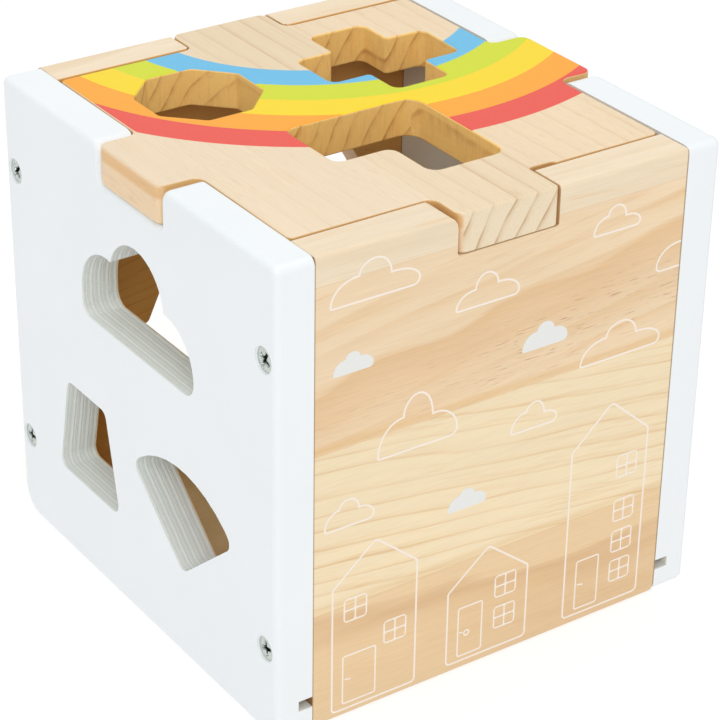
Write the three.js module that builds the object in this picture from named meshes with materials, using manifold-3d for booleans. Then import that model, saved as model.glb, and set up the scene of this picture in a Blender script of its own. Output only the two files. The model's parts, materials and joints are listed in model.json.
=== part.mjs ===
// Wooden shape sorter: a 150 mm cube with a lift-off lid and loose shape blocks.
//
// Units are millimetres and +Z is up. The origin is the middle of the square
// footprint, on the surface that the cube stands on. -Y is the printed front.

import * as THREE from 'three';
import { mergeVertices } from 'three/addons/utils/BufferGeometryUtils.js';
import Module from 'manifold-3d';

const wasm = await Module();
wasm.setup();

// ---------------------------------------------------------------- driving dimensions

const edge = 150; // outside of the cube, each way
const wall = 12; // stock of the four walls and the lid
const half = edge / 2;
const inside = half - wall; // from the middle to the inner face of a wall
const seam = 0.05; // between a pine wall and a painted wall

const paintedWall = { rounding: 2, backFoot: 9, frontFoot: 3, top: 2.5 };
const pineWall = { setBack: 0.1, rounding: 1.6, foot: 3.2, top: 1 };

const groove = { depth: 4.6, bottom: 8, height: 3.4 }; // in the painted walls
const board = { bottom: 8.2, thickness: 3, sideGap: 0.3, endGap: 0.1 };
const boardTop = board.bottom + board.thickness;

const lid = {
  halfWidth: 62.4, halfDepth: 62.2, tab: 16.8, corner: 2, tabCorner: 3, fillet: 3, rounding: 0.7,
  sawCut: { length: 8, depth: 1.3, corner: 1.5 },
};
const lidBottom = edge - wall;
const notch = { sideGap: 0.4, bedGap: 0.2, edge: 0.8, flare: 4, foot: 1 };

const screw = { head: 3.9, headDepth: 2.3, core: 1.6, length: 30, tip: 3, sunk: 0.4, gap: 0.15, sides: 16 };
const screwHeights = { low: 29, high: 121 };
const recess = { span: 4.6, slot: 1, depth: 1.7 };

const block = { thickness: 20, clearance: 0.6, rounding: 1, gap: 0.1 };

const arcStep = THREE.MathUtils.degToRad(9);
const cornerStep = THREE.MathUtils.degToRad(22.5);
const overrun = 4; // how far a cutter runs past the face that it opens

// ---------------------------------------------------------------- materials

function painted(color) {
  return new THREE.MeshStandardMaterial({ color, roughness: 0.42, metalness: 0 });
}

function bareWood(color) {
  return new THREE.MeshStandardMaterial({ color, roughness: 0.6, metalness: 0 });
}

const whitePaint = painted(0xeef0f0);
const pine = bareWood(0xe9cda3);
const plywood = bareWood(0xc99c66);
const zinc = new THREE.MeshStandardMaterial({ color: 0xc9ccd0, roughness: 0.28, metalness: 1 });
const blockPaint = {
  red: painted(0xe5635c),
  orange: painted(0xf5a04a),
  yellow: painted(0xf4d62c),
  green: painted(0xbfd63c),
  blue: painted(0x74b9e4),
};

// ---------------------------------------------------------------- outlines
// An outline is a closed, anticlockwise list of points. Corners are [x, y, radius]:
// one with a radius turns on an arc that is tangent to both of its sides.

function arc(x, y, radius, from, to, step = arcStep) {
  const steps = Math.max(2, Math.ceil(Math.abs(to - from) / step));
  return Array.from({ length: steps + 1 }, (_, i) => {
    const angle = from + ((to - from) * i) / steps;
    return [x + radius * Math.cos(angle), y + radius * Math.sin(angle)];
  });
}

function roundedCorner([x, y, radius], previous, next) {
  const corner = new THREE.Vector2(x, y);
  const before = new THREE.Vector2(previous[0], previous[1]).sub(corner).normalize();
  const after = new THREE.Vector2(next[0], next[1]).sub(corner).normalize();
  const halfOpening = Math.acos(before.dot(after)) / 2;
  const middle = before.clone().add(after).normalize();
  const centre = corner.clone().addScaledVector(middle, radius / Math.sin(halfOpening));
  const tangent = radius / Math.tan(halfOpening);
  const start = corner.clone().addScaledVector(before, tangent).sub(centre);
  const end = corner.clone().addScaledVector(after, tangent).sub(centre);
  const turn = Math.atan2(start.cross(end), start.dot(end));
  return arc(centre.x, centre.y, radius, start.angle(), start.angle() + turn, cornerStep);
}

function rounded(corners) {
  const points = corners.flatMap((corner, i) => {
    if (!corner[2]) return [corner];
    return roundedCorner(corner, corners.at(i - 1), corners[(i + 1) % corners.length]);
  });
  return points.map(([x, y]) => new THREE.Vector2(x, y));
}

function moved(outline, [x, y]) {
  return outline.map((point) => new THREE.Vector2(point.x + x, point.y + y));
}

function regularPolygon(sides, inradius, radius) {
  const circumradius = inradius / Math.cos(Math.PI / sides);
  const corners = Array.from({ length: sides }, (_, i) => {
    const angle = (Math.PI * (2 * i + 1)) / sides - Math.PI / 2;
    return [circumradius * Math.cos(angle), circumradius * Math.sin(angle), radius];
  });
  return rounded(corners);
}

function octagon() {
  return regularPolygon(8, 17.6, 2);
}

function hexagon() {
  return regularPolygon(6, 17, 2.2);
}

function square() {
  return regularPolygon(4, 16, 2.5);
}

function triangle() {
  const side = 46;
  return regularPolygon(3, side / 2 / Math.sqrt(3), 3);
}

function circle() {
  const radius = 17;
  return rounded(arc(0, 0, radius, 0, 2 * Math.PI).slice(1));
}

function star() {
  const tip = 27;
  const waist = 13;
  const corners = Array.from({ length: 10 }, (_, i) => {
    const radius = i % 2 ? waist : tip;
    const angle = Math.PI / 2 + (i * Math.PI) / 5;
    return [radius * Math.cos(angle), radius * Math.sin(angle), i % 2 ? 2 : 2.4];
  });
  return rounded(corners);
}

function plus() {
  const reach = 23.3;
  const arm = 9.8;
  const quarter = [[arm, -reach, 2.8], [arm, -arm, 1.5], [reach, -arm, 2.8]];
  const quarterTurns = [[1, 0], [0, 1], [-1, 0], [0, -1]];
  return rounded(quarterTurns.flatMap(([cos, sin]) => (
    quarter.map(([x, y, radius]) => [cos * x - sin * y, sin * x + cos * y, radius])
  )));
}

function ell() {
  const bar = { width: 44.4, height: 26 };
  const foot = { width: 25.4, height: 19 };
  const right = bar.width / 2;
  const top = (bar.height + foot.height) / 2;
  const step = top - bar.height;
  const inner = right - foot.width;
  return rounded([
    [right, -top, 4], [right, top, 5], [-right, top, 3],
    [-right, step, 3], [inner, step, 3.5], [inner, -top, 3.6],
  ]);
}

function trapezoid() {
  const foot = 18.4;
  const top = 11.4;
  const height = 33;
  return rounded([[foot, 0, 3.4], [top, height, 2.8], [-top, height, 2.8], [-foot, 0, 3]]);
}

// A fan standing on its point, with straight sides and a round top.
function wedge() {
  const side = { x: 27.6, y: 23.8 };
  const bulge = 11.5;
  const radius = (side.x * side.x + bulge * bulge) / (2 * bulge);
  const centre = side.y + bulge - radius;
  const spread = Math.asin(side.x / radius);
  const top = arc(0, centre, radius, Math.PI / 2 - spread, Math.PI / 2 + spread).slice(1, -1);
  return rounded([[0, 0, 3.6], [side.x, side.y, 3.2], ...top, [-side.x, side.y, 3.2]]);
}

function halfDisc() {
  const radius = 28;
  const top = arc(0, 0, radius, 0, Math.PI).slice(1, -1);
  return rounded([[radius, 0, 2.4], ...top, [-radius, 0, 2.4]]);
}

// The upper crossing of two circles given as [x, y, radius], the first being the right-hand one.
function crossing([x1, y1, r1], [x2, y2, r2]) {
  const apart = Math.hypot(x2 - x1, y2 - y1);
  const along = (r1 * r1 - r2 * r2 + apart * apart) / (2 * apart);
  const off = Math.sqrt(r1 * r1 - along * along);
  const toward = [(x2 - x1) / apart, (y2 - y1) / apart];
  return [x1 + toward[0] * along + toward[1] * off, y1 + toward[1] * along - toward[0] * off];
}

// Three round bumps, from right to left, over a flat base on y = 0.
function cloud() {
  const bumps = [[17.1, 5.6, 15], [1.3, 18.9, 15.3], [-15.3, 8.7, 15.5]];
  const right = bumps[0][0] + bumps[0][2];
  const left = bumps[2][0] - bumps[2][2];
  const joints = [
    [right, bumps[0][1]], crossing(bumps[0], bumps[1]), crossing(bumps[1], bumps[2]), [left, bumps[2][1]],
  ];
  const top = bumps.flatMap(([x, y, radius], i) => {
    const [from, to] = joints.slice(i, i + 2).map((joint) => Math.atan2(joint[1] - y, joint[0] - x));
    return arc(x, y, radius, from, to).slice(i ? 1 : 0);
  });
  return rounded([[right, 0, 5.4], ...top, [left, 0, 4.4]]);
}

// ---------------------------------------------------------------- solids

// A slab from z = from to z = to. Its long edges are rounded, and inset draws its sides in.
function slab(outline, from, to, { rounding = 0, inset = 0, holes = [] } = {}) {
  const shape = new THREE.Shape(outline);
  shape.holes = holes.map((hole) => new THREE.Path(hole));
  const geometry = new THREE.ExtrudeGeometry(shape, {
    depth: to - from - 2 * rounding,
    bevelEnabled: rounding > 0 || inset !== 0,
    bevelThickness: rounding,
    bevelSize: rounding,
    bevelOffset: -rounding - inset,
    bevelSegments: Math.ceil(rounding * 1.5),
  });
  return geometry.translate(0, 0, from + rounding);
}

function box([x0, y0, z0], [x1, y1, z1]) {
  const geometry = new THREE.BoxGeometry(x1 - x0, y1 - y0, z1 - z0);
  return geometry.translate((x0 + x1) / 2, (y0 + y1) / 2, (z0 + z1) / 2);
}

function toSolid(geometry) {
  geometry.deleteAttribute('normal');
  geometry.deleteAttribute('uv');
  const merged = mergeVertices(geometry, 1e-4);
  const vertProperties = new Float32Array(merged.getAttribute('position').array);
  const triVerts = new Uint32Array(merged.getIndex().array);
  return new wasm.Manifold(new wasm.Mesh({ numProp: 3, vertProperties, triVerts }));
}

function toGeometry(solid) {
  const { vertProperties, triVerts } = solid.getMesh();
  const geometry = new THREE.BufferGeometry();
  geometry.setAttribute('position', new THREE.BufferAttribute(vertProperties, 3));
  geometry.setIndex(new THREE.BufferAttribute(triVerts, 1));
  return geometry;
}

function cut(geometry, cutters) {
  return toGeometry(cutters.reduce((solid, cutter) => solid.subtract(toSolid(cutter)), toSolid(geometry)));
}

// Turns a geometry so that its x, y and z run along the three given directions.
function turned(geometry, x, y, z) {
  const axes = [x, y, z].map((axis) => new THREE.Vector3(...axis));
  return geometry.applyMatrix4(new THREE.Matrix4().makeBasis(...axes));
}

// ---------------------------------------------------------------- walls
// A wall is drawn as seen from outside the cube: x to the right, y up from the ground and z
// out of its face, with z = 0 on its inner face. facing then stands it in its place.

const facing = {
  front: (geometry) => turned(geometry, [1, 0, 0], [0, 0, 1], [0, -1, 0]).translate(0, -inside, 0),
  back: (geometry) => turned(geometry, [-1, 0, 0], [0, 0, 1], [0, 1, 0]).translate(0, inside, 0),
  left: (geometry) => turned(geometry, [0, -1, 0], [0, 0, 1], [-1, 0, 0]).translate(-inside, 0, 0),
  right: (geometry) => turned(geometry, [0, 1, 0], [0, 0, 1], [1, 0, 0]).translate(inside, 0, 0),
};

// The notch that one tab of the lid sits in, as the corners along the top of a wall, right to left.
// Its two upper corners turn on the given radii.
function notchCorners({ left, right }) {
  const side = lid.tab + notch.sideGap;
  const bed = lidBottom - notch.bedGap;
  return [[side, edge, right], [side, bed, notch.foot], [-side, bed, notch.foot], [-side, edge, left]];
}

function holeCutter({ outline, at }) {
  return slab(moved(outline, at), -overrun, wall + overrun);
}

// To the right of the front tab the saw ran on, and left its corner sharper and the edge set back.
function lidOutline() {
  const { halfWidth, halfDepth, tab, corner, tabCorner, fillet, sawCut } = lid;
  const cutEdge = -halfDepth + sawCut.depth;
  const cutEnd = tab + sawCut.length;
  return rounded([
    [tab, cutEdge, 1], [cutEnd, cutEdge, 1], [cutEnd + sawCut.depth, -halfDepth, 1],
    [halfWidth, -halfDepth, corner], [halfWidth, -tab, fillet], [half, -tab, tabCorner],
    [half, tab, tabCorner], [halfWidth, tab, fillet], [halfWidth, halfDepth, corner],
    [tab, halfDepth, fillet], [tab, half, tabCorner], [-tab, half, tabCorner], [-tab, halfDepth, fillet],
    [-halfWidth, halfDepth, corner], [-halfWidth, tab, fillet], [-half, tab, tabCorner],
    [-half, -tab, tabCorner], [-halfWidth, -tab, fillet], [-halfWidth, -halfDepth, corner],
    [-tab, -halfDepth, fillet], [-tab, -half, tabCorner], [tab, -half, sawCut.corner],
  ]);
}

// The lid's plan with its running gap, which clears the corners of the notches.
function lidCutter() {
  return slab(lidOutline(), lidBottom - notch.bedGap, edge + overrun, { inset: -notch.sideGap });
}

function grooveCutter(side) {
  const geometry = box(
    [inside - overrun, -half - overrun, groove.bottom],
    [inside + groove.depth, half + overrun, groove.bottom + groove.height],
  );
  return side > 0 ? geometry : turned(geometry, [-1, 0, 0], [0, -1, 0], [0, 0, 1]);
}

function paintedWallGeometry(face, side, feet, holes) {
  const outline = rounded([
    [-half, 0, feet.left], [half, 0, feet.right], [half, edge, paintedWall.top],
    ...notchCorners({ left: notch.flare, right: notch.flare }), [-half, edge, paintedWall.top],
  ]);
  const sheet = slab(outline, -2 * paintedWall.rounding, wall, { rounding: paintedWall.rounding });
  const behind = box([-edge, -edge, -edge], [edge, 2 * edge, 0]);
  const flat = cut(sheet, [behind, ...holes.map(holeCutter)]);
  return cut(facing[face](flat), [lidCutter(), grooveCutter(side), ...screwPlaces(side).map(screwHole)]);
}

// A pine wall stands between the painted ones, its outer face a hair behind their edges.
function pineWallGeometry(face, notchTop, holes) {
  const width = inside - seam;
  const outerFace = wall - pineWall.setBack;
  const elevation = rounded([
    [-width, 0, pineWall.foot], [width, 0, pineWall.foot], [width, edge, pineWall.top],
    ...notchCorners(notchTop), [-width, edge, pineWall.top],
  ]);
  const section = rounded([
    [0, 0, 0], [outerFace, 0, pineWall.rounding], [outerFace, edge, pineWall.rounding], [0, edge, 0.6],
  ]);
  const plank = turned(slab(section, -half, half), [0, 0, 1], [0, 1, 0], [-1, 0, 0]);
  const flat = toGeometry(toSolid(plank).intersect(toSolid(slab(elevation, -overrun, wall + overrun))));
  const standing = facing[face](cut(flat, holes.map(holeCutter)));
  return cut(standing, [lidCutter(), ...screwPlaces(-1).map(screwHole), ...screwPlaces(1).map(screwHole)]);
}

// ---------------------------------------------------------------- lid and floor board

function lidGeometry(holes) {
  const openings = holes.map(({ outline, at }) => moved(outline, at));
  return slab(lidOutline(), lidBottom, edge, { rounding: lid.rounding, holes: openings });
}

function boardGeometry() {
  const x = inside + groove.depth - board.sideGap;
  const y = inside - board.endGap;
  return slab(rounded([[x, -y], [x, y], [-x, y], [-x, -y]]), board.bottom, boardTop, { rounding: 0.3 });
}

// ---------------------------------------------------------------- screws
// A countersunk screw lies along x, its head at the outer face of a painted wall.

function screwPlaces(side) {
  const y = half - wall / 2;
  return Object.values(screwHeights).flatMap((z) => [-y, y].map((depth) => ({ side, y: depth, z })));
}

// The lathe's axis is y, which points out of the wall.
function screwLathe(gap, headTop) {
  const { head, headDepth, core, length, tip, sunk, sides } = screw;
  const profile = [
    [0, -length - gap], [core + gap, tip - length], [core + gap, -sunk - headDepth],
    [head + gap, -sunk], [head + gap, headTop], [0, headTop],
  ];
  const points = profile.filter(([r, y], i) => i === 0 || r !== profile[i - 1][0] || y !== profile[i - 1][1]);
  return new THREE.LatheGeometry(points.map(([r, y]) => new THREE.Vector2(r, y)), sides);
}

function alongX(geometry, { side, y, z }) {
  return turned(geometry, [0, -side, 0], [side, 0, 0], [0, 0, 1]).translate(side * half, y, z);
}

function screwHole(place) {
  return alongX(screwLathe(screw.gap, overrun), place);
}

function screwGeometry(place) {
  const top = -screw.sunk;
  const { span, slot, depth } = recess;
  const across = box([-span / 2, top - depth, -slot / 2], [span / 2, top + overrun, slot / 2]);
  const upright = box([-slot / 2, top - depth, -span / 2], [slot / 2, top + overrun, span / 2]);
  return alongX(cut(screwLathe(0, top), [across, upright]), place);
}

// ---------------------------------------------------------------- shape blocks

function blockGeometry(outline) {
  const { thickness, rounding, clearance } = block;
  return slab(outline, 0, thickness, { rounding, inset: clearance }).center().translate(0, 0, thickness / 2);
}

// ---------------------------------------------------------------- assembly

const holes = {
  lid: [
    { outline: octagon(), at: [-33, 31.6] },
    { outline: plus(), at: [27.6, 27.2] },
    { outline: ell(), at: [-3.8, -26] },
  ],
  left: [
    { outline: cloud(), at: [1, 90.8] },
    { outline: trapezoid(), at: [-30.3, 29] },
    { outline: wedge(), at: [24.9, 29.4] },
  ],
  back: [
    { outline: star(), at: [26.8, 50] },
    { outline: triangle(), at: [-29.2, 99.5] },
    { outline: circle(), at: [-28, 47] },
  ],
  right: [
    { outline: halfDisc(), at: [0, 92] },
    { outline: square(), at: [-27, 47] },
    { outline: hexagon(), at: [27, 47] },
  ],
};

// Blocks lie flat in the cube in stacks of two, the lower one first.
const stacks = [
  { at: [-30.2, -45.2], blocks: [['cloud', cloud(), 'blue'], ['wedge', wedge(), 'red']] },
  { at: [32.6, -45], blocks: [['half_disc', halfDisc(), 'orange'], ['trapezoid', trapezoid(), 'green']] },
  { at: [-5.6, -5.2], blocks: [['ell', ell(), 'yellow'], ['octagon', octagon(), 'orange']] },
  { at: [39, -5], blocks: [['plus', plus(), 'red'], ['triangle', triangle(), 'blue']] },
  { at: [-2, 39.6], blocks: [['circle', circle(), 'green'], ['square', square(), 'yellow']] },
  { at: [39, 40.2], blocks: [['star', star(), 'yellow'], ['hexagon', hexagon(), 'green']] },
];

const cube = new THREE.Group();

function add(name, geometry, material, position = [0, 0, 0]) {
  geometry.computeVertexNormals();
  const mesh = new THREE.Mesh(geometry, material);
  mesh.name = name;
  mesh.position.set(...position);
  cube.add(mesh);
}

const leftFeet = { left: paintedWall.backFoot, right: paintedWall.frontFoot };
const rightFeet = { left: paintedWall.frontFoot, right: paintedWall.backFoot };
add('left_wall', paintedWallGeometry('left', -1, leftFeet, holes.left), whitePaint);
add('right_wall', paintedWallGeometry('right', 1, rightFeet, holes.right), whitePaint);
add('front_wall', pineWallGeometry('front', { left: notch.flare, right: notch.edge }, []), pine);
add('back_wall', pineWallGeometry('back', { left: notch.edge, right: notch.edge }, holes.back), pine);
add('floor_board', boardGeometry(), plywood);
add('lid', lidGeometry(holes.lid), pine);

for (const [sideName, side] of [['left', -1], ['right', 1]]) {
  for (const place of screwPlaces(side)) {
    const end = place.y < 0 ? 'front' : 'back';
    const level = place.z === screwHeights.high ? 'upper' : 'lower';
    add(`screw_${sideName}_${end}_${level}`, screwGeometry(place), zinc);
  }
}

for (const { at, blocks } of stacks) {
  blocks.forEach(([name, outline, colour], level) => {
    const height = boardTop + block.gap + level * (block.thickness + block.gap);
    add(`${name}_block`, blockGeometry(outline), blockPaint[colour], [...at, height]);
  });
}

export default cube;
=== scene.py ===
"""The looks of a wooden shape sorter cube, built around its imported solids.

Lengths and places inside the shapes and materials are in mm.
"""

import json
import math

import bmesh
import bpy
from mathutils import Matrix, Vector
from mathutils.geometry import tessellate_polygon

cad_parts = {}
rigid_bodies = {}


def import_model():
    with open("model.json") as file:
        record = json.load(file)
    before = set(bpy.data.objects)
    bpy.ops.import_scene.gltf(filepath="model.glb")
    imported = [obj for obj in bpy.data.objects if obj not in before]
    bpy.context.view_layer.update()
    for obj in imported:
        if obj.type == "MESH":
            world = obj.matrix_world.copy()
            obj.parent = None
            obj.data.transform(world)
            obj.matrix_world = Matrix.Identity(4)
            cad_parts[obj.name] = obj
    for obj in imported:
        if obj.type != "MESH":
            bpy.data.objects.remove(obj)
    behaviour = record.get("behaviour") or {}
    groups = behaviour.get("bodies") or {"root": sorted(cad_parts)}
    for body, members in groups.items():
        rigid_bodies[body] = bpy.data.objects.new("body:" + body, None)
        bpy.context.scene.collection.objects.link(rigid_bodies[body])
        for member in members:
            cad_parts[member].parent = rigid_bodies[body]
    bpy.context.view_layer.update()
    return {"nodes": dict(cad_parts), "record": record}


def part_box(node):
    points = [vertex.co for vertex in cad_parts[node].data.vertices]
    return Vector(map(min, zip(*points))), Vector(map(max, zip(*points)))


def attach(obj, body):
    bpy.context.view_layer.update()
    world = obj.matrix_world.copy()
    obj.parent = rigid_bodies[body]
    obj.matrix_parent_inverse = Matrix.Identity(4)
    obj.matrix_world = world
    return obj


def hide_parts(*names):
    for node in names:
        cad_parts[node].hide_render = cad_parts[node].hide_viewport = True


for leftover in list(bpy.data.objects):
    bpy.data.objects.remove(leftover)

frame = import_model()
MM = 0.001
HALF = 75.0  # from the middle of the cube to each of its faces

# ---------------------------------------------------------------- camera

CAMERA_AT = Vector((-0.38314, -0.55628, 0.44373))
AZIMUTH = math.radians(-34.814)
ELEVATION = math.radians(29.224)
ROLL = math.radians(0.903)
FOCAL_LENGTH = 126.84


def camera_matrix():
    back = Vector((
        math.sin(AZIMUTH) * math.cos(ELEVATION),
        -math.cos(AZIMUTH) * math.cos(ELEVATION),
        math.sin(ELEVATION),
    ))
    right = (-back).cross(Vector((0, 0, 1))).normalized()
    up = right.cross(-back)
    rolled_right = right * math.cos(ROLL) + up * math.sin(ROLL)
    rolled_up = up * math.cos(ROLL) - right * math.sin(ROLL)
    turn = Matrix((rolled_right, rolled_up, back)).transposed().to_4x4()
    return Matrix.Translation(CAMERA_AT) @ turn


def add_camera():
    data = bpy.data.cameras.new("camera")
    data.sensor_width = 36.0
    data.lens = FOCAL_LENGTH
    data.clip_start = 0.01
    camera = bpy.data.objects.new("camera", data)
    camera.matrix_world = camera_matrix()
    bpy.context.scene.collection.objects.link(camera)
    bpy.context.scene.camera = camera


add_camera()

# ---------------------------------------------------------------- node graphs


def linear(red, green, blue):
    """A screen colour, from 0 to 255, as the light values that a shader takes."""
    def decode(value):
        value /= 255.0
        return value / 12.92 if value <= 0.04045 else ((value + 0.055) / 1.055) ** 2.4
    return (decode(red), decode(green), decode(blue), 1.0)


class Graph:
    """A material's node tree. Each method adds a node and gives back its output."""

    def __init__(self, name, roughness):
        self.material = bpy.data.materials.new(name)
        self.material.use_nodes = True
        self.tree = self.material.node_tree
        self.shader = self.tree.nodes["Principled BSDF"]
        self.shader.inputs["Roughness"].default_value = roughness
        place = self.tree.nodes.new("ShaderNodeTexCoord")
        self.position = self.vector("SCALE", place.outputs["Object"], scale=1 / MM)
        self.x, self.y, self.z = self.split(self.position)
        self.facing = self.split(place.outputs["Normal"])

    def put(self, socket, value):
        if isinstance(value, bpy.types.NodeSocket):
            self.tree.links.new(value, socket)
        elif value is not None:
            socket.default_value = value

    def math(self, operation, a, b=None, c=None, clamp=False):
        node = self.tree.nodes.new("ShaderNodeMath")
        node.operation = operation
        node.use_clamp = clamp
        for socket, value in zip(node.inputs, (a, b, c)):
            self.put(socket, value)
        return node.outputs[0]

    def vector(self, operation, a, b=None, scale=None):
        node = self.tree.nodes.new("ShaderNodeVectorMath")
        node.operation = operation
        self.put(node.inputs[0], a)
        self.put(node.inputs[1], b)
        self.put(node.inputs["Scale"], scale)
        return node.outputs[0]

    def split(self, vector):
        node = self.tree.nodes.new("ShaderNodeSeparateXYZ")
        self.put(node.inputs[0], vector)
        return node.outputs[0], node.outputs[1], node.outputs[2]

    def join(self, x, y, z):
        node = self.tree.nodes.new("ShaderNodeCombineXYZ")
        for socket, value in zip(node.inputs, (x, y, z)):
            self.put(socket, value)
        return node.outputs[0]

    def noise(self, vector, scale=1.0, detail=2.0, roughness=0.5):
        node = self.tree.nodes.new("ShaderNodeTexNoise")
        self.put(node.inputs["Vector"], vector)
        self.put(node.inputs["Scale"], scale)
        self.put(node.inputs["Detail"], detail)
        self.put(node.inputs["Roughness"], roughness)
        return node.outputs[0]

    def band(self, value, low, high, soft=0.1):
        """1 where the value is between low and high, with soft ends."""
        rise = self.spread(value, low - soft / 2, low + soft / 2)
        fall = self.spread(value, high + soft / 2, high - soft / 2)
        return self.math("MULTIPLY", rise, fall)

    def spread(self, value, low, high, to_low=0.0, to_high=1.0):
        """The value, moved from the range low to high into another range, and kept inside it."""
        node = self.tree.nodes.new("ShaderNodeMapRange")
        for socket, number in zip(node.inputs, (value, low, high, to_low, to_high)):
            self.put(socket, number)
        return node.outputs[0]

    def ramp(self, value, stops, interpolation="LINEAR"):
        node = self.tree.nodes.new("ShaderNodeValToRGB")
        self.put(node.inputs[0], value)
        node.color_ramp.interpolation = interpolation
        points = node.color_ramp.elements
        while len(points) < len(stops):
            points.new(1.0)
        for point, (place, colour) in zip(points, stops):
            point.position = place
            point.color = colour if isinstance(colour, tuple) else (colour, colour, colour, 1.0)
        return node.outputs[0]

    def mix(self, factor, a, b, blend="MIX"):
        node = self.tree.nodes.new("ShaderNodeMix")
        node.data_type = "RGBA"
        node.blend_type = blend
        self.put(node.inputs["Factor"], factor)
        self.put(node.inputs[6], a)
        self.put(node.inputs[7], b)
        return node.outputs[2]

    def bump(self, height, distance, strength=1.0):
        """Raises the surface by the height, 0 to 1, times a distance in mm."""
        node = self.tree.nodes.new("ShaderNodeBump")
        self.put(node.inputs["Height"], height)
        self.put(node.inputs["Distance"], distance * MM)
        self.put(node.inputs["Strength"], strength)
        self.put(self.shader.inputs["Normal"], node.outputs[0])

    def done(self, colour, roughness=None):
        self.put(self.shader.inputs["Base Color"], colour)
        if roughness is not None:
            self.put(self.shader.inputs["Roughness"], roughness)
        return self.material


# ---------------------------------------------------------------- wood


def stretched(g, along, across, depth, run, offset=0.0):
    """A place in the wood, squeezed along the grain by run."""
    return g.join(g.math("MULTIPLY_ADD", along, 1 / run, offset), across, depth)


def growth_rings(g, along, across, depth, board):
    """0 in the pale early wood, up to 1 in the dark line that ends each year's ring."""
    pith_across, pith_depth = board["pith"]
    wander = g.noise(stretched(g, along, across, depth, 7.0, board["seed"]), 0.045, 2.0)
    drift = g.math("MULTIPLY", along, board["tilt"])
    a = g.math("SUBTRACT", g.math("ADD", across, drift), pith_across)
    b = g.math("SUBTRACT", depth, pith_depth)
    reach = g.math("SQRT", g.math("ADD", g.math("MULTIPLY", a, a), g.math("MULTIPLY", b, b)))
    reach = g.math("MULTIPLY_ADD", wander, board["wander"], reach)
    year = g.math("FRACT", g.math("DIVIDE", reach, board["ring"]))
    line = g.ramp(year, board["line"])
    strength = g.noise(stretched(g, along, across, depth, 9.0, board["seed"] + 3.0), 0.09, 2.0)
    return g.math("MULTIPLY", line, g.spread(strength, 0.35, 0.65, 0.3, 1.0))


def resin_streaks(g, along, across, depth, board):
    """Thin orange streaks that lie along the grain."""
    slanted = g.math("MULTIPLY_ADD", along, board["tilt"], across)
    fine = g.noise(stretched(g, along, slanted, depth, 18.0, board["seed"] + 12.0), 0.42, 3.0, 0.6)
    region = g.noise(stretched(g, along, slanted, depth, 2.5, board["seed"] + 16.0), 0.04, 1.0)
    share = g.spread(region, 0.4, 0.6, 0.15, board["streaks"])
    return g.math("MULTIPLY", g.spread(fine, 0.56, 0.7), share)


HEART_FADE = [(0.0, 0.0), (0.5, 0.35), (0.85, 0.85), (0.93, 1.0), (1.0, 0.0)]


def heartwood(g, along, across, depth, heart):
    """1 just below a wavy line through the board, fading away below it, and 0 above."""
    wave = g.math("SINE", g.math("MULTIPLY_ADD", along, heart["pace"], heart["phase"]))
    level = g.math("MULTIPLY_ADD", along, heart["slope"], heart["level"])
    line = g.math("MULTIPLY_ADD", wave, heart["swing"], level)
    ragged = g.noise(stretched(g, along, across, depth, 10.0, 31.0), 0.25, 3.0, 0.6)
    line = g.math("MULTIPLY_ADD", ragged, 5.0, line)
    above = g.math("SUBTRACT", g.math("MULTIPLY_ADD", depth, 0.3, across), line)
    return g.ramp(g.spread(above, -heart["fade"], 2.0), HEART_FADE)


def board_colour(g, along, across, depth, board):
    rings = growth_rings(g, along, across, depth, board)
    colour = g.mix(rings, board["early"], board["late"])
    if "heart" in board:
        heart = heartwood(g, along, across, depth, board["heart"])
        colour = g.mix(heart, colour, board["heart"]["colour"])
    colour = g.mix(resin_streaks(g, along, across, depth, board), colour, linear(222, 174, 112))
    patch = g.noise(stretched(g, along, across, depth, 5.0, board["seed"] + 8.0), 0.03, 3.0)
    shade = g.spread(patch, 0.3, 0.7, 0.96, 1.03)
    return g.mix(1.0, colour, g.join(shade, shade, shade), "MULTIPLY"), rings


def glued_boards(g, along, across, depth, boards):
    """Boards side by side across the panel, each reaching up to its own edge, with thin glue lines."""
    colour, rings = board_colour(g, along, across, depth, boards[0])
    for board, before in zip(boards[1:], boards):
        next_colour, next_rings = board_colour(g, along, across, depth, board)
        past = g.spread(across, before["to"] - 0.05, before["to"] + 0.05)
        glue = g.band(across, before["to"] - 0.12, before["to"] + 0.12, 0.15)
        colour = g.mix(past, colour, next_colour)
        colour = g.mix(g.math("MULTIPLY", glue, 0.2), colour, linear(196, 150, 100))
        golden = g.band(across, before["to"], before["to"] + 2.4, 1.6)
        colour = g.mix(g.math("MULTIPLY", golden, board["golden"]), colour, linear(224, 180, 114))
        rings = g.mix(past, rings, next_rings)
    return colour, rings


def pine_details(g, along, across, depth, colour, pored):
    """Fibres, fine dark pores where the wood has them, and a faint relief."""
    fibre = g.noise(stretched(g, along, across, depth, 28.0), 2.1, 3.0, 0.6)
    tone = g.spread(fibre, 0.25, 0.75, 0.945, 1.035)
    colour = g.mix(1.0, colour, g.join(tone, tone, tone), "MULTIPLY")
    pore = g.noise(stretched(g, along, across, depth, 15.0, 5.0), 2.3, 2.0, 0.5)
    pore = g.math("MULTIPLY", g.spread(pore, 0.61, 0.71), pored)
    colour = g.mix(pore, colour, linear(176, 126, 76))
    g.bump(g.math("MULTIPLY_ADD", fibre, 0.5, g.math("MULTIPLY", pore, -1.0)), 0.05, 0.5)
    return colour


def end_grain_and_gap_shade(g, colour, facing, share=0.9, tint=(0.68, 0.52, 0.32)):
    """Sawn ends of the fibres soak up more lacquer, so they are darker; the strong tint also paints
    shade into the narrow notch gaps where these ends show.
    """
    end = g.spread(g.math("ABSOLUTE", facing), 0.55, 0.8)
    darker = g.mix(1.0, colour, (*tint, 1.0), "MULTIPLY")
    return g.mix(g.math("MULTIPLY", end, share), colour, darker)


def inside_reach(g, value, reach):
    return g.spread(g.math("ABSOLUTE", value), reach + 0.05, reach - 0.05)


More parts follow.
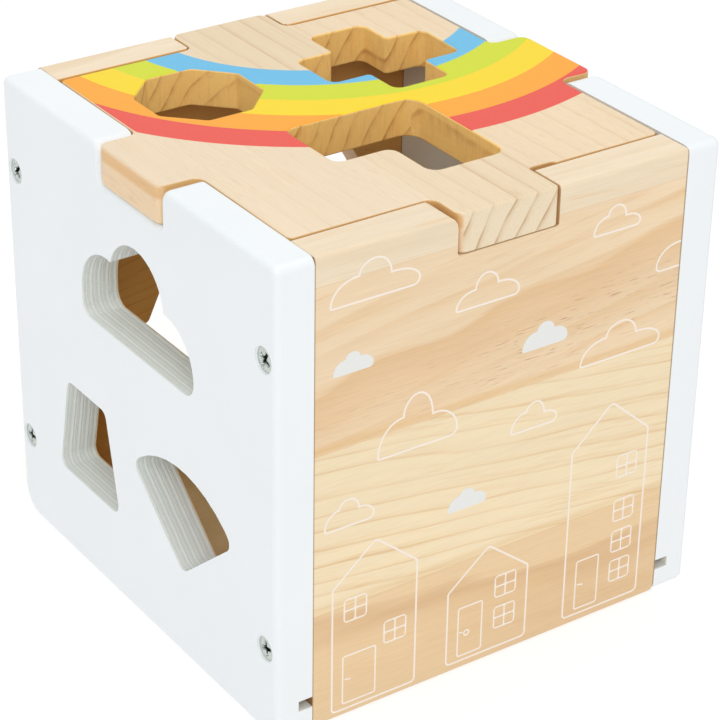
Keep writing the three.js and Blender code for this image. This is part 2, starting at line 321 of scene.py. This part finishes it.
SOFT_LINE = [(0.0, 0.0), (0.3, 0.08), (0.7, 0.55), (0.88, 1.0), (0.97, 0.6), (1.0, 0.0)]
THIN_LINE = [(0.0, 0.0), (0.6, 0.05), (0.82, 0.35), (0.9, 1.0), (0.93, 0.95), (1.0, 0.0)]


def board(to, pith, tilt, ring, wander, early, late, seed, line=SOFT_LINE, streaks=0.3, golden=0.0):
    """A board that reaches up to the level to, and whose rings lie about its pith."""
    return {
        "to": to, "pith": pith, "tilt": tilt, "ring": ring, "wander": wander, "line": line, "seed": seed,
        "early": linear(*early), "late": linear(*late), "streaks": streaks, "golden": golden,
    }


WALL_BOARDS = [
    board(38.2, (-22, 150), 0.16, 12.0, 16.0, (233, 202, 158), (219, 180, 134), 1.0),
    board(90.1, (240, 140), 0.15, 3.5, 8.5, (241, 221, 184), (226, 193, 144), 2.0, THIN_LINE, 0.3, 0.3),
    board(141.0, (20, -60), -0.14, 9.0, 12.0, (239, 213, 177), (232, 200, 156), 3.0,
          streaks=0.4, golden=0.45),
    board(999.0, (200, 90), 0.05, 9.0, 9.0, (238, 220, 191), (230, 206, 172), 4.0),
]
WALL_BOARDS[2]["heart"] = {
    "level": 92.8, "slope": 0.144, "swing": 1.5, "pace": 0.131, "phase": 7.07, "fade": 28.0,
    "colour": linear(229, 191, 144),
}
LID_BOARDS = [
    board(-17.5, (95, 70), 0.012, 6.0, 5.0, (236, 216, 187), (233, 211, 180), 5.0, THIN_LINE, 0.1),
    board(17.0, (130, 70), 0.015, 6.2, 5.0, (234, 214, 181), (214, 185, 146), 6.0, THIN_LINE, 0.1),
    board(999.0, (170, 70), 0.012, 6.4, 5.0, (236, 214, 181), (229, 204, 169), 7.0, THIN_LINE, 0.1),
]


PORED = {"levels": (92.0, 112.0), "slope": 0.1, "along": (-30.0, 5.0)}


def wall_pine(name, mirror, lift, inward):
    """Boards laid one above another, with their grain along x.

    inward is the y direction that the face inside the cube looks in; that face gets painted shade.
    """
    g = Graph(name, 0.5)
    along = g.math("MULTIPLY_ADD", g.x, mirror, lift)
    colour, _ = glued_boards(g, along, g.z, g.y, WALL_BOARDS)
    slanted = g.math("MULTIPLY_ADD", along, -PORED["slope"], g.z)
    share = g.spread(along, *PORED["along"], 0.2, 0.65)
    pored = g.math("MULTIPLY", g.band(slanted, *PORED["levels"], 9.0), share)
    colour = pine_details(g, along, g.z, g.y, colour, pored)
    seam = g.spread(g.math("ABSOLUTE", g.x), 62.5, 62.75)
    colour = g.mix(g.math("MULTIPLY", seam, 0.8), colour, linear(150, 112, 70))
    # End-grain faces darker: partly their own colour, partly painted shade of the gaps at the lid's
    # notches.
    colour = end_grain_and_gap_shade(g, colour, g.facing[0])
    # The faces inside the cube are made much darker and more orange: painted shade of the closed box's
    # dim inside.
    inner = g.spread(g.math("MULTIPLY", g.facing[1], inward), 0.5, 0.7)
    inside_shaded = g.mix(1.0, colour, (0.86, 0.6, 0.27, 1.0), "MULTIPLY")
    colour = g.mix(inner, colour, inside_shaded)
    return g.done(colour)


RAINBOW = {"centre": (30.0, 76.0), "inner": 54.0, "width": 11.0}
RAINBOW_COLOURS = [(100, 187, 228), (208, 219, 24), (246, 215, 0), (248, 166, 36), (232, 80, 68)]
RAINBOW_OUTER = RAINBOW["inner"] + RAINBOW["width"] * len(RAINBOW_COLOURS)
PRINT_EDGE = {"left": -62.0, "back": 62.0}


def rainbow_mask(g, reach):
    """1 on the printed arc of the lid's upper face, cut off at the print's left and back edges."""
    mask = g.band(reach, RAINBOW["inner"], RAINBOW_OUTER, 0.12)
    mask = g.math("MULTIPLY", mask, g.spread(g.facing[2], 0.6, 0.75))
    mask = g.math("MULTIPLY", mask, g.spread(g.x, PRINT_EDGE["left"] - 0.1, PRINT_EDGE["left"] + 0.1))
    return g.math("MULTIPLY", mask, g.spread(g.y, PRINT_EDGE["back"] + 0.1, PRINT_EDGE["back"] - 0.1))


def lid_pine():
    """Boards with their grain along y, a rainbow printed over them, and darker cut-outs."""
    g = Graph("pine_lid", 0.5)
    colour, rings = glued_boards(g, g.y, g.x, g.z, LID_BOARDS)
    lines = g.math("MULTIPLY", g.spread(rings, 0.0, 0.8), 0.95)
    slope = g.math("ABSOLUTE", g.facing[2])
    in_hole = g.math("MULTIPLY", inside_reach(g, g.x, 61), inside_reach(g, g.y, 60))
    faded = g.math("MULTIPLY", lines, g.spread(g.noise(g.position, 0.25, 2.0), 0.35, 0.65, 0.35, 1.0))
    golden = g.mix(faded, linear(255, 213, 130), linear(200, 138, 74))
    upright = g.noise(g.join(g.x, g.y, g.math("MULTIPLY", g.z, 0.12)), 1.1, 3.0, 0.6)
    golden = g.mix(g.spread(upright, 0.5, 0.75, 0.0, 0.25), golden, linear(210, 146, 84))
    cut_out = g.math("MULTIPLY", in_hole, g.spread(slope, 0.97, 0.85))
    colour = g.mix(cut_out, colour, golden)
    side = g.spread(g.math("ABSOLUTE", g.facing[0]), 0.4, 0.6)
    crest = g.math("MULTIPLY", g.band(g.z, 145.6, 149.0, 1.0), 0.7)
    long_edge = g.mix(crest, linear(238, 209, 172), linear(226, 178, 116))
    tab_end = g.mix(side, g.mix(lines, linear(236, 218, 188), linear(198, 163, 120)), long_edge)
    reach = g.math("MAXIMUM", g.math("ABSOLUTE", g.x), g.math("ABSOLUTE", g.y))
    # Side faces that sit back in the gaps take a darker orange: partly the lacquered edge's own colour,
    # partly painted shade of the gaps.
    sides_in_gap_shade = g.mix(g.spread(reach, 73.0, 74.3), linear(222, 178, 116), tab_end)
    outer = g.math("MULTIPLY", g.math("SUBTRACT", 1.0, in_hole), g.spread(slope, 0.7, 0.5))
    colour = g.mix(outer, colour, sides_in_gap_shade)
    dense = g.noise(stretched(g, g.y, g.x, g.z, 2.0, 9.0), 0.03, 1.0)
    colour = pine_details(g, g.y, g.x, g.z, colour, g.spread(dense, 0.44, 0.6, 0.0, 0.3))
    x, y = RAINBOW["centre"]
    away = g.join(g.math("SUBTRACT", g.x, x), g.math("SUBTRACT", g.y, y), 0.0)
    node = g.tree.nodes.new("ShaderNodeVectorMath")
    node.operation = "LENGTH"
    g.put(node.inputs[0], away)
    reach = node.outputs["Value"]
    stops = [(i / len(RAINBOW_COLOURS), linear(*c)) for i, c in enumerate(RAINBOW_COLOURS)]
    ink = g.ramp(g.spread(reach, RAINBOW["inner"], RAINBOW_OUTER), stops, "CONSTANT")
    cover = g.noise(g.position, 1.3, 2.0)
    cover = g.spread(cover, 0.2, 0.5, 0.93, 0.985)
    mask = rainbow_mask(g, reach)
    colour = g.mix(g.math("MULTIPLY", mask, cover), colour, ink)
    g.shader.inputs["Specular IOR Level"].default_value = 0.35
    return g.done(colour, g.spread(mask, 0.0, 1.0, 0.55, 0.45))


# ---------------------------------------------------------------- paint, plywood and metal

PLIES = 9
WALL_STOCK = 12.0
HOLES_WITHIN = {"across": 60, "low": 18, "high": 134}
GROOVE = {"low": 7.8, "high": 11.6, "reach": 67.8}


def plies(g, depth):
    """Crossed sheets through the board: 1 in the fibrous ones, and 1 at each joint between two."""
    waver = g.noise(g.vector("SCALE", g.position, scale=0.12), 1.0, 2.0)
    layer = g.math("MULTIPLY", g.math("MULTIPLY_ADD", waver, 0.5, depth), PLIES / WALL_STOCK)
    fibrous = g.spread(g.math("PINGPONG", layer, 1.0), 0.35, 0.65)
    return fibrous, g.spread(g.math("PINGPONG", layer, 0.5), 0.3, 0.04)


def white_paint():
    """Satin paint over plywood: smooth on the faces, and thin on the sawn plies of the cut-outs."""
    g = Graph("white_paint_over_plywood", 0.38)
    depth = g.math("SUBTRACT", HALF, g.math("ABSOLUTE", g.x))
    flank = g.spread(g.math("ABSOLUTE", g.facing[0]), 0.75, 0.55)
    in_face = g.math("MULTIPLY", inside_reach(g, g.y, HOLES_WITHIN["across"]),
                     g.band(g.z, HOLES_WITHIN["low"], HOLES_WITHIN["high"]))
    cut_out = g.math("MULTIPLY", flank, in_face)
    fibrous, joint = plies(g, depth)
    fleck = g.noise(g.position, 2.6, 3.0, 0.7)
    ply_low, ply_high = g.spread(fibrous, 0.0, 1.0, 0.85, 0.81), g.spread(fibrous, 0.0, 1.0, 0.12, 0.2)
    ply_tone = g.math("MULTIPLY_ADD", fleck, ply_high, ply_low)
    ply_tone = g.math("SUBTRACT", ply_tone, g.math("MULTIPLY", joint, 0.1))
    # Upward-facing cut-out faces high on the wall are made paler: painted light from above.
    painted_sill_light = g.math("MULTIPLY", g.spread(g.facing[2], 0.5, 0.9), g.spread(g.z, 60, 90))
    ply_tone = g.math("MULTIPLY_ADD", painted_sill_light, 0.09, ply_tone)
    ply_tone = g.math("MULTIPLY_ADD", g.spread(fleck, 0.58, 0.7), 0.12, ply_tone)
    sawn = g.mix(1.0, linear(243, 250, 246), g.join(ply_tone, ply_tone, ply_tone), "MULTIPLY")
    bare = g.spread(g.math("MULTIPLY_ADD", g.noise(g.position, 0.4, 2.0), 0.8, depth), 11.95, 12.15)
    sawn = g.mix(bare, sawn, linear(228, 208, 170))
    cloudiness = g.noise(g.vector("SCALE", g.position, scale=0.03), 1.0, 2.0)
    paint = g.mix(cloudiness, linear(234, 239, 241), linear(239, 243, 245))
    colour = g.mix(cut_out, paint, sawn)
    groove = g.band(g.z, GROOVE["low"], GROOVE["high"], 0.1)
    groove = g.math("MULTIPLY", groove, inside_reach(g, g.x, GROOVE["reach"]))
    colour = g.mix(groove, colour, linear(235, 235, 228))
    roller = g.noise(g.position, 0.55, 3.0, 0.55)
    relief = g.math("SUBTRACT", g.math("MULTIPLY", fleck, fibrous), g.math("MULTIPLY", joint, 0.4))
    height = g.math("MULTIPLY_ADD", roller, 0.12, g.math("MULTIPLY", relief, cut_out))
    g.bump(height, 0.14, 0.8)
    return g.done(colour, g.spread(cut_out, 0.0, 1.0, 0.36, 0.62))


def board_plywood():
    """A thin bare sheet: a rotary-cut face with its grain along x, and a dark core ply on its edges."""
    g = Graph("bare_plywood", 0.62)
    figure = g.noise(stretched(g, g.x, g.y, g.z, 6.0), 0.09, 4.0, 0.55)
    colour = g.mix(g.spread(figure, 0.35, 0.65), linear(238, 210, 160), linear(227, 197, 146))
    fibre = g.noise(stretched(g, g.x, g.y, g.z, 24.0), 1.8, 3.0)
    tone = g.spread(fibre, 0.25, 0.75, 0.95, 1.04)
    colour = g.mix(1.0, colour, g.join(tone, tone, tone), "MULTIPLY")
    edge = g.spread(g.math("ABSOLUTE", g.facing[2]), 0.7, 0.5)
    core = g.band(g.z, 9.2, 10.2, 0.1)
    colour = g.mix(g.math("MULTIPLY", edge, core), colour, linear(140, 96, 58))
    g.bump(fibre, 0.06, 0.6)
    return g.done(colour)


def zinc():
    """Bright plated steel, slightly stained, with a fine grit on its surface."""
    g = Graph("bright_zinc", 0.24)
    g.shader.inputs["Metallic"].default_value = 1.0
    stain = g.noise(g.position, 0.8, 3.0)
    colour = g.mix(stain, linear(216, 222, 217), linear(172, 180, 174))
    # The deep parts of the cross recess and the head's rim turn nearly black with depth below the face:
    # painted shade.
    depth_into_shade = g.math("SUBTRACT", HALF, g.math("ABSOLUTE", g.x))
    colour = g.mix(g.spread(depth_into_shade, 0.65, 1.3, 0.0, 0.9), colour, linear(30, 34, 28))
    grit = g.noise(g.position, 6.0, 2.0)
    g.bump(grit, 0.02, 0.6)
    return g.done(colour, g.spread(grit, 0.3, 0.7, 0.18, 0.34))


def block_paint(name, base):
    """Satin paint on a wooden block: faint brush relief, and a little paler where it is worn."""
    g = Graph(name, 0.4)
    brush = g.noise(stretched(g, g.x, g.y, g.z, 8.0), 0.9, 3.0)
    patch = g.noise(g.vector("SCALE", g.position, scale=0.05), 1.0, 2.0)
    tone = g.spread(patch, 0.3, 0.7, 0.94, 1.05)
    colour = g.mix(1.0, linear(*base), g.join(tone, tone, tone), "MULTIPLY")
    worn = g.tree.nodes.new("ShaderNodeNewGeometry").outputs["Pointiness"]
    colour = g.mix(g.spread(worn, 0.52, 0.6, 0.0, 0.35), colour, linear(238, 216, 180))
    g.bump(brush, 0.04, 0.6)
    return g.done(colour, g.spread(brush, 0.3, 0.7, 0.34, 0.46))


def print_ink(name, base):
    """White screen-printed ink, thin enough for the wood's fibres to show a little."""
    g = Graph(name, 0.45)
    fibre = g.noise(stretched(g, g.x, g.z, g.y, 20.0), 1.6, 3.0)
    colour = g.mix(g.spread(fibre, 0.55, 0.8, 0.0, 0.2), linear(*base), linear(240, 224, 200))
    g.bump(fibre, 0.02, 0.5)
    return g.done(colour)


def pale_floor():
    g = Graph("pale_floor", 0.9)
    speckle = g.noise(g.vector("SCALE", g.position, scale=0.02), 1.0, 2.0)
    colour = g.mix(speckle, linear(160, 160, 160), linear(163, 163, 163))
    g.shader.inputs["Emission Color"].default_value = (1.0, 1.0, 1.0, 1.0)
    g.shader.inputs["Emission Strength"].default_value = 0.67
    return g.done(colour)


# ---------------------------------------------------------------- meshes


def piece(name, mesh, material, body, replaces=None):
    """A finished mesh as an object that rides on a body."""
    mesh.materials.clear()
    mesh.materials.append(material)
    made = bpy.data.objects.new(name, mesh)
    bpy.context.scene.collection.objects.link(made)
    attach(made, body)
    if replaces:
        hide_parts(replaces)
    return made


def arc(x, z, radius_x, radius_z, start, end, steps=10):
    """Points on an ellipse, from one angle to another, in degrees."""
    angles = [math.radians(start + (end - start) * i / steps) for i in range(steps + 1)]
    return [Vector((x + radius_x * math.cos(a), z + radius_z * math.sin(a))) for a in angles]


def rounded(corners, steps=5):
    """A closed outline through [x, z, radius] corners."""
    points = []
    for i, (x, z, radius) in enumerate(corners):
        corner = Vector((x, z))
        before = (Vector(corners[i - 1][:2]) - corner).normalized()
        after = (Vector(corners[(i + 1) % len(corners)][:2]) - corner).normalized()
        half_opening = before.angle(after) / 2
        centre = corner + (before + after).normalized() * radius / math.sin(half_opening)
        start = corner + before * radius / math.tan(half_opening) - centre
        end = corner + after * radius / math.tan(half_opening) - centre
        turn = math.atan2(start.x * end.y - start.y * end.x, start.dot(end))
        for k in range(steps + 1):
            angle = turn * k / steps
            points.append(centre + Vector((
                start.x * math.cos(angle) - start.y * math.sin(angle),
                start.x * math.sin(angle) + start.y * math.cos(angle),
            )))
    return points


# ---------------------------------------------------------------- printed front

INK_LINE = 0.6
FINE_LINE = 0.5
INK_RAISED = 0.05
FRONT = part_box("front_wall")[0].y / MM


class InkMesh:
    """Flat shapes of ink on the front face, each a thin closed layer."""

    def __init__(self):
        self.mesh = bmesh.new()

    def layer(self, loop, y):
        return [self.mesh.verts.new((p.x * MM, y * MM, p.y * MM)) for p in loop]

    def close_sides(self, front, back):
        count = len(front)
        for i in range(count):
            j = (i + 1) % count
            self.mesh.faces.new((front[i], back[i], back[j], front[j]))

    def filled(self, outer, holes=()):
        """The area inside a loop, less its holes."""
        loops = [outer, *holes]
        front = [self.layer(loop, FRONT - INK_RAISED) for loop in loops]
        back = [self.layer(loop, FRONT) for loop in loops]
        front_corners, back_corners = sum(front, []), sum(back, [])
        for triangle in tessellate_polygon([[point.to_3d() for point in loop] for loop in loops]):
            self.mesh.faces.new([front_corners[i] for i in triangle])
            self.mesh.faces.new([back_corners[i] for i in reversed(triangle)])
        for near, far in zip(front, back):
            self.close_sides(near, far)

    def outline(self, loop, width=INK_LINE):
        """A line of ink along a closed loop."""
        count = len(loop)
        inner, outer = [], []
        for i, point in enumerate(loop):
            before = (point - loop[i - 1]).normalized()
            after = (loop[(i + 1) % count] - point).normalized()
            normals = Vector((before.y, -before.x)), Vector((after.y, -after.x))
            middle = (normals[0] + normals[1]).normalized()
            reach = width / 2 / max(0.6, middle.dot(normals[0]))
            outer.append(point + middle * reach)
            inner.append(point - middle * reach)
        rings = [self.layer(ring, y) for y in (FRONT - INK_RAISED, FRONT) for ring in (outer, inner)]
        front_out, front_in, back_out, back_in = rings
        for i in range(count):
            j = (i + 1) % count
            self.mesh.faces.new((front_out[i], front_out[j], front_in[j], front_in[i]))
            self.mesh.faces.new((back_out[i], back_in[i], back_in[j], back_out[j]))
            self.mesh.faces.new((front_out[i], back_out[i], back_out[j], front_out[j]))
            self.mesh.faces.new((front_in[i], front_in[j], back_in[j], back_in[i]))

    def open_line(self, points, width=INK_LINE):
        """A line of ink along an open path, square at its ends."""
        near, far = [], []
        for before, point, after in zip([points[0], *points], points, [*points[1:], points[-1]]):
            heading = (after - before).normalized()
            aside = Vector((heading.y, -heading.x)) * width / 2
            near.append(point + aside)
            far.append(point - aside)
        self.filled(near + far[::-1])

    def stroke(self, start, end, width=INK_LINE):
        """A straight line of ink with round ends."""
        start, end = Vector(start), Vector(end)
        heading = math.degrees(math.atan2(end.y - start.y, end.x - start.x))
        radius = width / 2
        self.filled(
            arc(end.x, end.y, radius, radius, heading - 90, heading + 90, 6)
            + arc(start.x, start.y, radius, radius, heading + 90, heading + 270, 6)
        )

    def finish(self, name):
        bmesh.ops.recalc_face_normals(self.mesh, faces=self.mesh.faces)
        mesh = bpy.data.meshes.new(name)
        self.mesh.to_mesh(mesh)
        self.mesh.free()
        return mesh


def cloud_loop(left, right, base, left_notch, top, right_notch):
    """A cloud with a flat base, two side lobes and a bump between its notches."""
    height = (left_notch[1] + right_notch[1]) / 2 - base
    corner = min(0.6, height * 0.15)
    shoulder = base + corner
    belly = min(2.2, height * 0.3)
    foot = [Vector((left + corner, base))]
    right_corner = arc(right - belly, base + belly, belly, belly, -90, 0, 5)
    middle = right_notch[0] + 0.15 * (right - right_notch[0])
    rise = (right_notch[1] - base - belly) * 1.015
    right_lobe = arc(middle, base + belly, right - middle, rise, 0, 100, 10)
    bump = []
    for i in range(1, 12):
        angle = math.pi * i / 12
        share = (1 + math.cos(angle)) / 2
        x = left_notch[0] + (right_notch[0] - left_notch[0]) * share
        level = left_notch[1] + (right_notch[1] - left_notch[1]) * share
        bump.append(Vector((x, level + (top - level) * math.sin(angle))))
    left_lobe = arc(left_notch[0], shoulder, left_notch[0] - left, left_notch[1] - shoulder, 90, 180, 9)
    left_corner = arc(left + corner, shoulder, corner, corner, 180, 270, 4)
    return right_corner[:-1] + right_lobe + bump + left_lobe + left_corner[1:-1] + foot


LINE_CLOUDS = [
    (-58.0, -29.5, 133.4, (-49.0, 141.0), 145.0, (-38.7, 139.3)),
    (-17.0, 4.3, 120.8, (-10.6, 126.0), 130.3, (-3.0, 126.3)),
    (30.0, 46.5, 130.8, (34.8, 136.0), 138.8, (41.2, 134.8)),
    (28.0, 57.0, 89.8, (37.0, 97.0), 101.0, (48.0, 95.8)),
    (-42.0, -15.3, 82.4, (-33.6, 93.3), 99.6, (-23.8, 91.5)),
    (4.0, 20.2, 75.3, (9.3, 81.4), 83.8, (15.6, 79.4)),
    (-59.2, -43.0, 64.6, (-54.5, 70.6), 73.2, (-48.0, 69.4)),
]
FILLED_CLOUDS = [
    (-57.0, -44.0, 112.7, (-53.0, 117.2), 119.0, (-48.2, 117.0)),
    (6.5, 22.5, 101.0, (11.6, 106.6), 109.0, (17.6, 106.2)),
    (-17.5, -4.0, 56.3, (-13.4, 61.0), 62.8, (-8.2, 60.6)),
]


def half_cloud_line():
    """The cloud at the right, which runs off the edge of the face."""
    cut, base = 62.6, 113.2
    lobe = arc(62.0, base + 1.4, 8.0, 6.4, 90, 180, 9)
    corner = arc(54.0 + 1.4, base + 1.4, 1.4, 1.4, 180, 270, 4)
    return [Vector((cut, base + 7.8))] + lobe + corner[1:] + [Vector((cut, base))]


def rounded_box(left, base, width, height, radius):
    right, top = left + width, base + height
    corners = [(left, base), (right, base), (right, top), (left, top)]
    return rounded([(x, z, radius) for x, z in corners], 4)


def window(ink, left, base, width=7.5, height=7.4):
    """A frame with two by two panes left open in it."""
    half_line = FINE_LINE / 2
    pane = (width / 2 - FINE_LINE, height / 2 - FINE_LINE)
    panes = [rounded_box(x + half_line, z + half_line, *pane, 0.5)
             for x in (left, left + width / 2) for z in (base, base + height / 2)]
    size = (width + FINE_LINE, height + FINE_LINE)
    ink.filled(rounded_box(left - half_line, base - half_line, *size, 1.3), panes)


def house(ink, left, right, base, eaves, peak, door, windows, handle):
    ink.outline(rounded([
        (left, base, 1.4), (right, base, 1.4), (right, eaves, 1.2), (*peak, 1.6), (left, eaves, 1.2),
    ]))
    x0, x1, z0, z1 = door
    ink.outline(rounded_box(x0, z0, x1 - x0, z1 - z0, 0.7), FINE_LINE)
    ink.stroke(*handle, FINE_LINE)
    for corner in windows:
        window(ink, *corner)


def filled_clouds():
    ink = InkMesh()
    for cloud in FILLED_CLOUDS:
        ink.filled(cloud_loop(*cloud))
    return ink.finish("filled_clouds")


def line_drawing():
    ink = InkMesh()
    for cloud in LINE_CLOUDS:
        ink.outline(cloud_loop(*cloud))
    ink.open_line(half_cloud_line())
    house(ink, -56.4, -27.6, 2.6, 44.8, (-42.0, 57.0), (-52.7, -41.5, 4.5, 20.8),
          [(-52.4, 32.6), (-38.6, 20.1)], ((-51.8, 12.8), (-50.2, 12.5)))
    house(ink, -16.2, 12.7, 3.2, 28.5, (-2.0, 40.2), (-12.2, -3.6, 4.9, 21.8),
          [(0.9, 20.9), (0.9, 9.9)], ((-11.4, 13.3), (-10.8, 13.1)))
    house(ink, 27.1, 55.7, 3.3, 61.5, (41.2, 74.3), (31.5, 39.9, 5.1, 22.2),
          [(44.6, 47.3), (44.6, 31.8), (44.6, 20.8), (44.6, 10.2)], ((32.4, 13.8), (34.2, 13.4)))
    ink.outline(arc(-9.1, 12.5, 0.9, 0.9, 0, 330, 11), 0.5)
    return ink.finish("line_drawing")


# ---------------------------------------------------------------- screws

SCREW = {"radius": 3.9, "depth": 2.3, "core": 1.6, "length": 30.0, "tip": 3.0}
RECESS = {"depth": 1.5, "reach": 2.5, "wing": 0.66}


def recess_depth(u, v):
    """How deep the cross recess is at a point of the head: four tapered wings about a deep middle."""
    along, across = max(abs(u), abs(v)), min(abs(u), abs(v))
    wing = RECESS["wing"] - 0.07 * along
    side = max(0.0, min(1.0, (wing - across) / 0.2 + 0.5))
    tip = max(0.0, min(1.0, (RECESS["reach"] - along) / 0.7))
    return RECESS["depth"] * side * tip


def circle(radius, level, steps):
    angles = [2 * math.pi * k / steps for k in range(steps)]
    return [(radius * math.cos(a), radius * math.sin(a), level) for a in angles]


def screw_mesh():
    """A countersunk screw along z, with the top of its head at z = 0."""
    mesh = bmesh.new()
    around = 72
    first, step, dome = 0.25, 0.115, 0.012
    rings = [
        [(u, v, level - recess_depth(u, v)) for u, v, level in circle(radius, -dome * radius**2, around)]
        for radius in (first + step * i for i in range(30))
    ]
    sides = [
        (3.8, -0.2), (SCREW["radius"], -0.34), (3.84, -0.5), (SCREW["core"], -SCREW["depth"] - 0.2),
        (SCREW["core"], SCREW["tip"] - SCREW["length"]), (0.3, -SCREW["length"]),
    ]
    rings += [circle(radius, level, around) for radius, level in sides]
    made = [[mesh.verts.new([c * MM for c in place]) for place in ring] for ring in rings]
    top = mesh.verts.new((0, 0, -RECESS["depth"] * MM))
    tip = mesh.verts.new((0, 0, -(SCREW["length"] + 0.1) * MM))
    for k in range(around):
        j = (k + 1) % around
        mesh.faces.new((top, made[0][k], made[0][j]))
        mesh.faces.new((tip, made[-1][j], made[-1][k]))
        for inner, outer in zip(made, made[1:]):
            mesh.faces.new((inner[k], outer[k], outer[j], inner[j]))
    for face in mesh.faces:
        face.smooth = True
    data = bpy.data.meshes.new("screw")
    mesh.to_mesh(data)
    mesh.free()
    return data


SCREW_TWIST = {"lower": 12, "upper": 63, "back": 17}  # how far each recess is turned, in degrees


def add_screws(material):
    for node in sorted(n for n in frame["nodes"] if n.startswith("screw_")):
        low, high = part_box(node)
        side = 1 if low.x > 0 else -1
        outer = (high.x if side > 0 else low.x)
        middle = (low + high) / 2
        degrees = SCREW_TWIST[node.rsplit("_", 1)[1]]
        if middle.y > 0:
            degrees += SCREW_TWIST["back"] * side
        stand = Matrix(((0, 0, side), (0, 1, 0), (-side, 0, 0))).to_4x4()
        place = Matrix.Translation((outer, middle.y, middle.z))
        mesh = screw_mesh()
        mesh.transform(place @ stand @ Matrix.Rotation(math.radians(degrees), 4, "Z"))
        piece("detailed_" + node, mesh, material, "case", node)


# ---------------------------------------------------------------- solids from the frame


def shading_group():
    """Joins the split corners and shades everything but the sharp edges smoothly."""
    tree = bpy.data.node_groups.new("joined_and_smooth", "GeometryNodeTree")
    tree.interface.new_socket("Geometry", in_out="INPUT", socket_type="NodeSocketGeometry")
    tree.interface.new_socket("Geometry", in_out="OUTPUT", socket_type="NodeSocketGeometry")
    nodes, link = tree.nodes, tree.links.new
    begin, end = nodes.new("NodeGroupInput"), nodes.new("NodeGroupOutput")
    strip = nodes.new("GeometryNodeRemoveAttribute")
    strip.inputs["Name"].default_value = "custom_normal"
    merge = nodes.new("GeometryNodeMergeByDistance")
    merge.inputs["Distance"].default_value = 2e-6
    faces = nodes.new("GeometryNodeSetShadeSmooth")
    edges = nodes.new("GeometryNodeSetShadeSmooth")
    edges.domain = "EDGE"
    edges.inputs["Shade Smooth"].default_value = False
    angle = nodes.new("GeometryNodeInputMeshEdgeAngle")
    sharp = nodes.new("FunctionNodeCompare")
    sharp.inputs[1].default_value = math.radians(50)
    link(begin.outputs[0], strip.inputs[0])
    link(strip.outputs[0], merge.inputs[0])
    link(merge.outputs[0], faces.inputs["Geometry"])
    link(faces.outputs[0], edges.inputs["Geometry"])
    link(angle.outputs["Unsigned Angle"], sharp.inputs[0])
    link(sharp.outputs[0], edges.inputs["Selection"])
    link(edges.outputs[0], end.inputs[0])
    return tree


def dress(node, material, group, arris=0.0):
    """Gives a CAD node its material and smooth shading, and eases its sharp edges by arris mm."""
    target = frame["nodes"][node]
    for holder in target.material_slots:
        holder.material = material
    joined = target.modifiers.new("joined", "NODES")
    joined.node_group = group
    if arris:
        flat = target.modifiers.new("flat_faces", "DECIMATE")
        flat.decimate_type = "DISSOLVE"
        flat.angle_limit = math.radians(0.05)
        eased = target.modifiers.new("eased_edges", "BEVEL")
        eased.width = arris * MM
        eased.segments = 2
        eased.limit_method = "ANGLE"
        eased.angle_limit = math.radians(50)
        eased.use_clamp_overlap = True
        smooth = target.modifiers.new("smooth", "NODES")
        smooth.node_group = group
    even = target.modifiers.new("even_faces", "WEIGHTED_NORMAL")
    even.keep_sharp = True


def dress_cube():
    group = shading_group()
    white = white_paint()
    dress("left_wall", white, group, 0.35)
    dress("right_wall", white, group, 0.35)
    dress("front_wall", wall_pine("pine_front", 1.0, 0.0, 1.0), group, 0.3)
    dress("back_wall", wall_pine("pine_back", -1.0, 37.0, -1.0), group, 0.3)
    dress("lid", lid_pine(), group)
    dress("floor_board", board_plywood(), group)
    paints = {
        "red_paint": (226, 88, 80), "orange_paint": (244, 152, 62), "yellow_paint": (246, 212, 40),
        "green_paint": (182, 208, 62), "blue_paint": (104, 180, 226),
    }
    made = {slot: block_paint(slot, colour) for slot, colour in paints.items()}
    for part in frame["record"]["subparts"]:
        if part["material_slot"] in made:
            dress(part["node"], made[part["material_slot"]], group)


dress_cube()
add_screws(zinc())
piece("printed_lines", line_drawing(), print_ink("white_ink_lines", (244, 233, 221)), "case")
piece("printed_clouds", filled_clouds(), print_ink("white_ink_areas", (229, 230, 227)), "case")

# ---------------------------------------------------------------- floor and light


def add_floor():
    mesh = bmesh.new()
    reach, sweep, top = 3.0, 1.2, 2.4
    profile = [(-reach, 0.0), (reach - sweep, 0.0)]
    profile += [(reach - sweep + sweep * math.sin(a), sweep - sweep * math.cos(a))
                for a in (math.radians(10 * i) for i in range(1, 10))]
    profile.append((reach, top))
    rows = [[mesh.verts.new((x, y, z)) for y, z in profile] for x in (-reach, reach)]
    for i in range(len(profile) - 1):
        mesh.faces.new((rows[0][i], rows[1][i], rows[1][i + 1], rows[0][i + 1]))
    for face in mesh.faces:
        face.smooth = True
    data = bpy.data.meshes.new("floor")
    mesh.to_mesh(data)
    mesh.free()
    data.materials.append(pale_floor())
    floor = bpy.data.objects.new("floor", data)
    bpy.context.scene.collection.objects.link(floor)


def add_softbox(name, place, target, size, power):
    data = bpy.data.lights.new(name, "AREA")
    data.shape = "DISK"
    data.size = size
    data.energy = power
    lamp = bpy.data.objects.new(name, data)
    heading = Vector(target) - Vector(place)
    turn = heading.to_track_quat("-Z", "Y").to_matrix().to_4x4()
    lamp.matrix_world = Matrix.Translation(place) @ turn
    bpy.context.scene.collection.objects.link(lamp)


def add_light():
    world = bpy.data.worlds.new("studio")
    bpy.context.scene.world = world
    world.use_nodes = True
    background = world.node_tree.nodes["Background"]
    background.inputs["Color"].default_value = (1.0, 1.0, 1.0, 1.0)
    background.inputs["Strength"].default_value = 0.6
    middle = (0.0, 0.0, 0.07)
    add_softbox("key", (-0.9, -1.3, 1.29), middle, 1.0, 10.3)
    add_softbox("overhead", (0.1, -0.1, 1.65), middle, 1.2, 8.1)
    bpy.context.scene.view_settings.view_transform = "Standard"


add_floor()
add_light()
